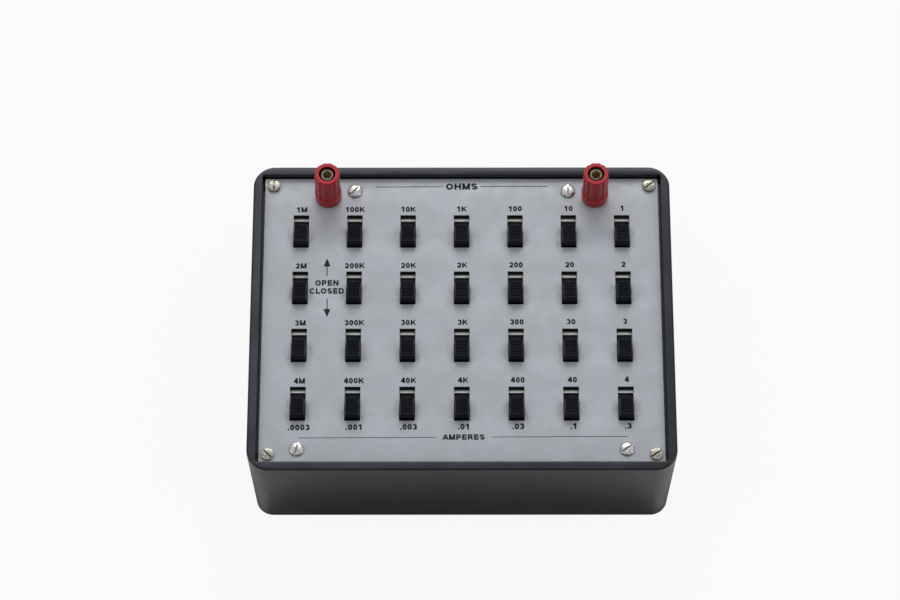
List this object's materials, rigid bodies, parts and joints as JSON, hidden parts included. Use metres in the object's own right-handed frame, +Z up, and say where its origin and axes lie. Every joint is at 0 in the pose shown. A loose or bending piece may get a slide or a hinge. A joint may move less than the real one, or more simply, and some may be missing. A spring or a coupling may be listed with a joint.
{
  "type": "resistance decade box",
  "caption": "Bench resistance substitution box: drafted black case, recessed metal panel of slide switches that short series resistors, and red five-way binding posts.",
  "frame": {"origin": "centre of the footprint on the plane that the rubber feet rest on", "axes": "+X along the rows of switches to the right, +Y away from the user, +Z up through the panel"},
  "size_m": [0.1986, 0.159, 0.0784],
  "materials": {
    "case_plastic": "semi-gloss black phenolic moulding",
    "rubber": "matt black rubber",
    "panel_metal": "satin silver with printed dark legends",
    "screw_metal": "nickel plated",
    "hardware_metal": "plated steel",
    "frame_metal": "pale plated metal",
    "brass": "turned brass",
    "stud_metal": "tarnished nickel plate",
    "post_red": "moulded red plastic",
    "slider_plastic": "moulded black plastic",
    "board_laminate": "glass-epoxy laminate",
    "phenolic": "brown phenolic",
    "resistor_body": "lacquered body",
    "wire_insulation": "insulated hook-up wire"
  },
  "bodies": {
    "root": {"case": "case_plastic", "rubber_feet": "rubber", "panel": "panel_metal", "panel_screws": "screw_metal", "case_inserts": "brass", "board_screws": "screw_metal", "board_spacers": "hardware_metal", "board_nuts": "hardware_metal", "circuit_board": "board_laminate", "switch_frames": "frame_metal", "switch_bases": "phenolic", "switch_pins": "hardware_metal", "resistors": "resistor_body", "resistor_leads": "hardware_metal", "post_inner_washers": "phenolic", "post_nuts": "hardware_metal", "post_lugs": "hardware_metal", "post_wires": "wire_insulation", "left_post_base": "post_red", "left_post_stud": "stud_metal", "right_post_base": "post_red", "right_post_stud": "stud_metal"},
    "slider_1m": {"slider_1m": "slider_plastic"},
    "slider_100k": {"slider_100k": "slider_plastic"},
    "slider_10k": {"slider_10k": "slider_plastic"},
    "slider_1k": {"slider_1k": "slider_plastic"},
    "slider_100": {"slider_100": "slider_plastic"},
    "slider_10": {"slider_10": "slider_plastic"},
    "slider_1": {"slider_1": "slider_plastic"},
    "slider_2m": {"slider_2m": "slider_plastic"},
    "slider_200k": {"slider_200k": "slider_plastic"},
    "slider_20k": {"slider_20k": "slider_plastic"},
    "slider_2k": {"slider_2k": "slider_plastic"},
    "slider_200": {"slider_200": "slider_plastic"},
    "slider_20": {"slider_20": "slider_plastic"},
    "slider_2": {"slider_2": "slider_plastic"},
    "slider_3m": {"slider_3m": "slider_plastic"},
    "slider_300k": {"slider_300k": "slider_plastic"},
    "slider_30k": {"slider_30k": "slider_plastic"},
    "slider_3k": {"slider_3k": "slider_plastic"},
    "slider_300": {"slider_300": "slider_plastic"},
    "slider_30": {"slider_30": "slider_plastic"},
    "slider_3": {"slider_3": "slider_plastic"},
    "slider_4m": {"slider_4m": "slider_plastic"},
    "slider_400k": {"slider_400k": "slider_plastic"},
    "slider_40k": {"slider_40k": "slider_plastic"},
    "slider_4k": {"slider_4k": "slider_plastic"},
    "slider_400": {"slider_400": "slider_plastic"},
    "slider_40": {"slider_40": "slider_plastic"},
    "slider_4": {"slider_4": "slider_plastic"},
    "left_post_bush": {"left_post_bush": "brass"},
    "left_post_cap": {"left_post_cap": "post_red"},
    "right_post_bush": {"right_post_bush": "brass"},
    "right_post_cap": {"right_post_cap": "post_red"}
  },
  "joints": [
    {"name": "switch_1m", "type": "slide", "parent": "root", "child": "slider_1m", "axis": [0, 1, 0], "range_m": [0, 0.0048]},
    {"name": "switch_100k", "type": "slide", "parent": "root", "child": "slider_100k", "axis": [0, 1, 0], "range_m": [0, 0.0048]},
    {"name": "switch_10k", "type": "slide", "parent": "root", "child": "slider_10k", "axis": [0, 1, 0], "range_m": [0, 0.0048]},
    {"name": "switch_1k", "type": "slide", "parent": "root", "child": "slider_1k", "axis": [0, 1, 0], "range_m": [0, 0.0048]},
    {"name": "switch_100", "type": "slide", "parent": "root", "child": "slider_100", "axis": [0, 1, 0], "range_m": [0, 0.0048]},
    {"name": "switch_10", "type": "slide", "parent": "root", "child": "slider_10", "axis": [0, 1, 0], "range_m": [0, 0.0048]},
    {"name": "switch_1", "type": "slide", "parent": "root", "child": "slider_1", "axis": [0, 1, 0], "range_m": [0, 0.0048]},
    {"name": "switch_2m", "type": "slide", "parent": "root", "child": "slider_2m", "axis": [0, 1, 0], "range_m": [0, 0.0048]},
    {"name": "switch_200k", "type": "slide", "parent": "root", "child": "slider_200k", "axis": [0, 1, 0], "range_m": [0, 0.0048]},
    {"name": "switch_20k", "type": "slide", "parent": "root", "child": "slider_20k", "axis": [0, 1, 0], "range_m": [0, 0.0048]},
    {"name": "switch_2k", "type": "slide", "parent": "root", "child": "slider_2k", "axis": [0, 1, 0], "range_m": [0, 0.0048]},
    {"name": "switch_200", "type": "slide", "parent": "root", "child": "slider_200", "axis": [0, 1, 0], "range_m": [0, 0.0048]},
    {"name": "switch_20", "type": "slide", "parent": "root", "child": "slider_20", "axis": [0, 1, 0], "range_m": [0, 0.0048]},
    {"name": "switch_2", "type": "slide", "parent": "root", "child": "slider_2", "axis": [0, 1, 0], "range_m": [0, 0.0048]},
    {"name": "switch_3m", "type": "slide", "parent": "root", "child": "slider_3m", "axis": [0, 1, 0], "range_m": [0, 0.0048]},
    {"name": "switch_300k", "type": "slide", "parent": "root", "child": "slider_300k", "axis": [0, 1, 0], "range_m": [0, 0.0048]},
    {"name": "switch_30k", "type": "slide", "parent": "root", "child": "slider_30k", "axis": [0, 1, 0], "range_m": [0, 0.0048]},
    {"name": "switch_3k", "type": "slide", "parent": "root", "child": "slider_3k", "axis": [0, 1, 0], "range_m": [0, 0.0048]},
    {"name": "switch_300", "type": "slide", "parent": "root", "child": "slider_300", "axis": [0, 1, 0], "range_m": [0, 0.0048]},
    {"name": "switch_30", "type": "slide", "parent": "root", "child": "slider_30", "axis": [0, 1, 0], "range_m": [0, 0.0048]},
    {"name": "switch_3", "type": "slide", "parent": "root", "child": "slider_3", "axis": [0, 1, 0], "range_m": [0, 0.0048]},
    {"name": "switch_4m", "type": "slide", "parent": "root", "child": "slider_4m", "axis": [0, 1, 0], "range_m": [0, 0.0048]},
    {"name": "switch_400k", "type": "slide", "parent": "root", "child": "slider_400k", "axis": [0, 1, 0], "range_m": [0, 0.0048]},
    {"name": "switch_40k", "type": "slide", "parent": "root", "child": "slider_40k", "axis": [0, 1, 0], "range_m": [0, 0.0048]},
    {"name": "switch_4k", "type": "slide", "parent": "root", "child": "slider_4k", "axis": [0, 1, 0], "range_m": [0, 0.0048]},
    {"name": "switch_400", "type": "slide", "parent": "root", "child": "slider_400", "axis": [0, 1, 0], "range_m": [0, 0.0048]},
    {"name": "switch_40", "type": "slide", "parent": "root", "child": "slider_40", "axis": [0, 1, 0], "range_m": [0, 0.0048]},
    {"name": "switch_4", "type": "slide", "parent": "root", "child": "slider_4", "axis": [0, 1, 0], "range_m": [0, 0.0048]},
    {"name": "left_post_lift", "type": "slide", "parent": "root", "child": "left_post_bush", "axis": [0, 0, 1], "range_m": [0, 0.00453]},
    {"name": "left_post_turn", "type": "hinge", "parent": "left_post_bush", "child": "left_post_cap", "pos_m": [-0.0635, 0.0648, 0.07], "axis": [0, 0, 1], "range_deg": [0, 1800]},
    {"name": "right_post_lift", "type": "slide", "parent": "root", "child": "right_post_bush", "axis": [0, 0, 1], "range_m": [0, 0.00453]},
    {"name": "right_post_turn", "type": "hinge", "parent": "right_post_bush", "child": "right_post_cap", "pos_m": [0.0635, 0.0648, 0.07], "axis": [0, 0, 1], "range_deg": [0, 1800]}
  ],
  "couplings": [
    {"joint": "left_post_turn", "follows": "left_post_lift", "rad_per_m": 6927.4},
    {"joint": "right_post_turn", "follows": "right_post_lift", "rad_per_m": 6927.4}
  ]
}
